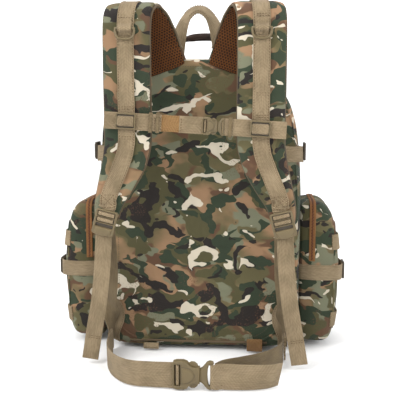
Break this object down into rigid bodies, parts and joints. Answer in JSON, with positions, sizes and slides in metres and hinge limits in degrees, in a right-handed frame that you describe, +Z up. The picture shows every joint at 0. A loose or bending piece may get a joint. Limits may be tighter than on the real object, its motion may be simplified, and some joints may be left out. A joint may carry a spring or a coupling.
{
  "type": "hunting backpack",
  "caption": "Camouflage hunting backpack with zipped side pockets, a front pouch, padded shoulder straps, a buckled sternum strap and a buckled waist belt.",
  "frame": {"origin": "centre of the bag's flat base, on the floor", "axes": "+Z up, -Y towards the wearer (harness side), +Y towards the front pouch, +X to the right of someone facing the harness"},
  "size_m": [0.4782, 0.4055, 0.554],
  "materials": {
    "camo_fabric": "printed woven nylon, woodland camouflage",
    "webbing": "ribbed nylon webbing",
    "mesh_liner": "open spacer mesh",
    "hardware": "moulded acetal",
    "zipper_tape": "woven tape with a nylon coil",
    "zip_metal": "dark painted die-cast",
    "foam": "closed-cell foam",
    "frame_sheet": "smooth polyethylene sheet",
    "dark_grip": "dark brown webbing",
    "elastic": "woven elastic"
  },
  "bodies": {
    "bag": {"main_shell": "camo_fabric", "back_foam_pad": "foam", "frame_sheet": "frame_sheet", "main_zipper": "zipper_tape", "front_pouch": "camo_fabric", "pocket_body_left": "camo_fabric", "pocket_body_right": "camo_fabric", "pocket_zipper_left": "zipper_tape", "pocket_zipper_right": "zipper_tape", "pocket_strap_left": "webbing", "pocket_strap_right": "webbing", "side_strap_left": "webbing", "side_strap_right": "webbing", "wing_left": "webbing", "wing_right": "webbing"},
    "main_flap": {"main_flap": "camo_fabric"},
    "main_zip_slider": {"main_zip_slider": "zip_metal"},
    "pouch_lid": {"front_pouch_lid": "camo_fabric"},
    "haul_handle": {"haul_handle": "webbing"},
    "grip_handle": {"grip_handle": "dark_grip"},
    "pocket_lid_left": {"pocket_lid_left": "camo_fabric"},
    "pocket_lid_right": {"pocket_lid_right": "camo_fabric"},
    "pocket_zip_slider_left": {"pocket_zip_slider_left": "zip_metal"},
    "pocket_zip_slider_right": {"pocket_zip_slider_right": "zip_metal"},
    "pocket_buckle_left": {"pocket_strap_buckle_left": "hardware"},
    "pocket_buckle_right": {"pocket_strap_buckle_right": "hardware"},
    "side_buckle_left": {"side_strap_buckle_left": "hardware"},
    "side_buckle_right": {"side_strap_buckle_right": "hardware"},
    "shoulder_left": {"shoulder_pad_left": "camo_fabric", "shoulder_liner_left": "mesh_liner", "shoulder_webbing_left": "webbing", "tail_left": "webbing"},
    "shoulder_right": {"shoulder_pad_right": "camo_fabric", "shoulder_liner_right": "mesh_liner", "shoulder_webbing_right": "webbing", "tail_right": "webbing"},
    "dring_left": {"dring_left": "hardware"},
    "dring_right": {"dring_right": "hardware"},
    "ladderlock_left": {"ladderlock_left": "hardware"},
    "ladderlock_right": {"ladderlock_right": "hardware"},
    "lower_strap_left": {"lower_strap_left": "webbing"},
    "lower_strap_right": {"lower_strap_right": "webbing"},
    "sternum_socket": {"sternum_slider_left": "hardware", "sternum_web_left": "webbing", "sternum_elastic": "elastic", "sternum_buckle_female": "hardware"},
    "sternum_slider_right": {"sternum_slider_right": "hardware"},
    "sternum_plug": {"sternum_web_right": "webbing", "sternum_buckle_male": "hardware"},
    "sternum_prong_top": {"sternum_buckle_prong_top": "hardware"},
    "sternum_prong_bottom": {"sternum_buckle_prong_bottom": "hardware"},
    "belt": {"waist_web_left": "webbing", "waist_web_back": "webbing", "waist_buckle_female": "hardware"},
    "belt_plug": {"waist_web_right": "webbing", "waist_buckle_male": "hardware"},
    "waist_prong_top": {"waist_buckle_prong_top": "hardware"},
    "waist_prong_bottom": {"waist_buckle_prong_bottom": "hardware"},
    "bottom_loop_left": {"bottom_loop_left": "webbing"},
    "bottom_loop_right": {"bottom_loop_right": "webbing"}
  },
  "joints": [
    {"name": "haul_handle_fold", "type": "hinge", "parent": "bag", "child": "haul_handle", "pos_m": [0, -0.061, 0.474], "axis": [-1, 0, 0], "range_deg": [0, 80]},
    {"name": "grip_handle_fold", "type": "hinge", "parent": "bag", "child": "grip_handle", "pos_m": [0, 0.068, 0.468], "axis": [-1, 0, 0], "range_deg": [0, 80]},
    {"name": "main_flap_open", "type": "hinge", "parent": "bag", "child": "main_flap", "pos_m": [0, 0.09, 0.2288], "axis": [-1, 0, 0], "range_deg": [0, 75]},
    {"name": "main_zip_slide", "type": "slide", "parent": "bag", "child": "main_zip_slider", "axis": [0, 0, 1], "range_m": [0, 0.07]},
    {"name": "pouch_lid_open", "type": "hinge", "parent": "bag", "child": "pouch_lid", "pos_m": [0, 0.15, 0.1218], "axis": [-1, 0, 0], "range_deg": [0, 85]},
    {"name": "pocket_lid_left_open", "type": "hinge", "parent": "bag", "child": "pocket_lid_left", "pos_m": [-0.231, 0.005, 0.1418], "axis": [0, -1, 0], "range_deg": [0, 80]},
    {"name": "pocket_lid_right_open", "type": "hinge", "parent": "bag", "child": "pocket_lid_right", "pos_m": [0.231, 0.005, 0.1418], "axis": [0, 1, 0], "range_deg": [0, 80]},
    {"name": "pocket_zip_left_slide", "type": "slide", "parent": "bag", "child": "pocket_zip_slider_left", "axis": [0, 0, 1], "range_m": [0, 0.055]},
    {"name": "pocket_zip_right_slide", "type": "slide", "parent": "bag", "child": "pocket_zip_slider_right", "axis": [0, 0, 1], "range_m": [0, 0.055]},
    {"name": "pocket_buckle_left_tilt", "type": "hinge", "parent": "bag", "child": "pocket_buckle_left", "pos_m": [-0.2366, -0.039, 0.127], "axis": [0, 0, 1], "range_deg": [0, 30]},
    {"name": "pocket_buckle_right_tilt", "type": "hinge", "parent": "bag", "child": "pocket_buckle_right", "pos_m": [0.2366, -0.039, 0.127], "axis": [0, 0, -1], "range_deg": [0, 30]},
    {"name": "side_buckle_left_tilt", "type": "hinge", "parent": "bag", "child": "side_buckle_left", "pos_m": [-0.1686, -0.061, 0.324], "axis": [0, 0, 1], "range_deg": [0, 30]},
    {"name": "side_buckle_right_tilt", "type": "hinge", "parent": "bag", "child": "side_buckle_right", "pos_m": [0.1686, -0.061, 0.324], "axis": [0, 0, -1], "range_deg": [0, 30]},
    {"name": "shoulder_left_swing", "type": "hinge", "parent": "bag", "child": "shoulder_left", "pos_m": [-0.052, -0.092, 0.46], "axis": [-1, 0, 0], "range_deg": [-3, 12]},
    {"name": "shoulder_right_swing", "type": "hinge", "parent": "bag", "child": "shoulder_right", "pos_m": [0.052, -0.092, 0.46], "axis": [-1, 0, 0], "range_deg": [-3, 12]},
    {"name": "lower_strap_left_swing", "type": "hinge", "parent": "bag", "child": "lower_strap_left", "pos_m": [-0.139, -0.095, 0.04], "axis": [1, 0, 0], "range_deg": [-4, 12]},
    {"name": "lower_strap_right_swing", "type": "hinge", "parent": "bag", "child": "lower_strap_right", "pos_m": [0.139, -0.095, 0.04], "axis": [1, 0, 0], "range_deg": [-4, 12]},
    {"name": "dring_left_swing", "type": "hinge", "parent": "shoulder_left", "child": "dring_left", "pos_m": [-0.099, -0.1688, 0.508], "axis": [-1, 0, 0], "range_deg": [0, 80]},
    {"name": "dring_right_swing", "type": "hinge", "parent": "shoulder_right", "child": "dring_right", "pos_m": [0.099, -0.1688, 0.508], "axis": [-1, 0, 0], "range_deg": [0, 80]},
    {"name": "ladderlock_left_tilt", "type": "hinge", "parent": "shoulder_left", "child": "ladderlock_left", "pos_m": [-0.12889, -0.168, 0.2405], "axis": [-0.9703, 0, 0.2419], "range_deg": [0, 30]},
    {"name": "ladderlock_right_tilt", "type": "hinge", "parent": "shoulder_right", "child": "ladderlock_right", "pos_m": [0.12889, -0.168, 0.2405], "axis": [-0.9703, 0, -0.2419], "range_deg": [0, 30]},
    {"name": "sternum_left_height", "type": "slide", "parent": "shoulder_left", "child": "sternum_socket", "axis": [0, 0, 1], "range_m": [-0.02, 0.08]},
    {"name": "sternum_right_height", "type": "slide", "parent": "shoulder_right", "child": "sternum_slider_right", "axis": [0, 0, 1], "range_m": [-0.02, 0.08]},
    {"name": "sternum_release", "type": "slide", "parent": "sternum_socket", "child": "sternum_plug", "axis": [0.9984, 0, -0.0558], "range_m": [0, 0.025]},
    {"name": "sternum_squeeze_top", "type": "hinge", "parent": "sternum_plug", "child": "sternum_prong_top", "pos_m": [0.03771, -0.1671, 0.37674], "axis": [0, -1, 0], "range_deg": [0, 8]},
    {"name": "sternum_squeeze_bottom", "type": "hinge", "parent": "sternum_plug", "child": "sternum_prong_bottom", "pos_m": [0.03667, -0.1671, 0.35805], "axis": [0, 1, 0], "range_deg": [0, 8]},
    {"name": "belt_lift", "type": "hinge", "parent": "bag", "child": "belt", "pos_m": [0, -0.116, 0.0205], "axis": [-1, 0, 0], "range_deg": [0, 30]},
    {"name": "waist_release", "type": "slide", "parent": "belt", "child": "belt_plug", "axis": [1, 0, 0], "range_m": [0, 0.035]},
    {"name": "waist_squeeze_top", "type": "hinge", "parent": "belt_plug", "child": "waist_prong_top", "pos_m": [0.0199, -0.25, 0.03712], "axis": [0, -1, 0], "range_deg": [0, 8]},
    {"name": "waist_squeeze_bottom", "type": "hinge", "parent": "belt_plug", "child": "waist_prong_bottom", "pos_m": [0.0199, -0.25, 0.00688], "axis": [0, 1, 0], "range_deg": [0, 8]},
    {"name": "bottom_loop_left_swing", "type": "hinge", "parent": "bag", "child": "bottom_loop_left", "pos_m": [-0.076, -0.0932, 0.023], "axis": [-1, 0, 0], "range_deg": [0, 60]},
    {"name": "bottom_loop_right_swing", "type": "hinge", "parent": "bag", "child": "bottom_loop_right", "pos_m": [0.092, -0.0932, 0.023], "axis": [-1, 0, 0], "range_deg": [0, 60]}
  ],
  "couplings": [
    {"joint": "shoulder_right_swing", "follows": "shoulder_left_swing", "ratio": 1},
    {"joint": "lower_strap_left_swing", "follows": "shoulder_left_swing", "ratio": 0.9},
    {"joint": "lower_strap_right_swing", "follows": "shoulder_left_swing", "ratio": 0.9},
    {"joint": "sternum_right_height", "follows": "sternum_left_height", "ratio": 1},
    {"joint": "sternum_squeeze_bottom", "follows": "sternum_squeeze_top", "ratio": 1},
    {"joint": "waist_squeeze_bottom", "follows": "waist_squeeze_top", "ratio": 1}
  ]
}
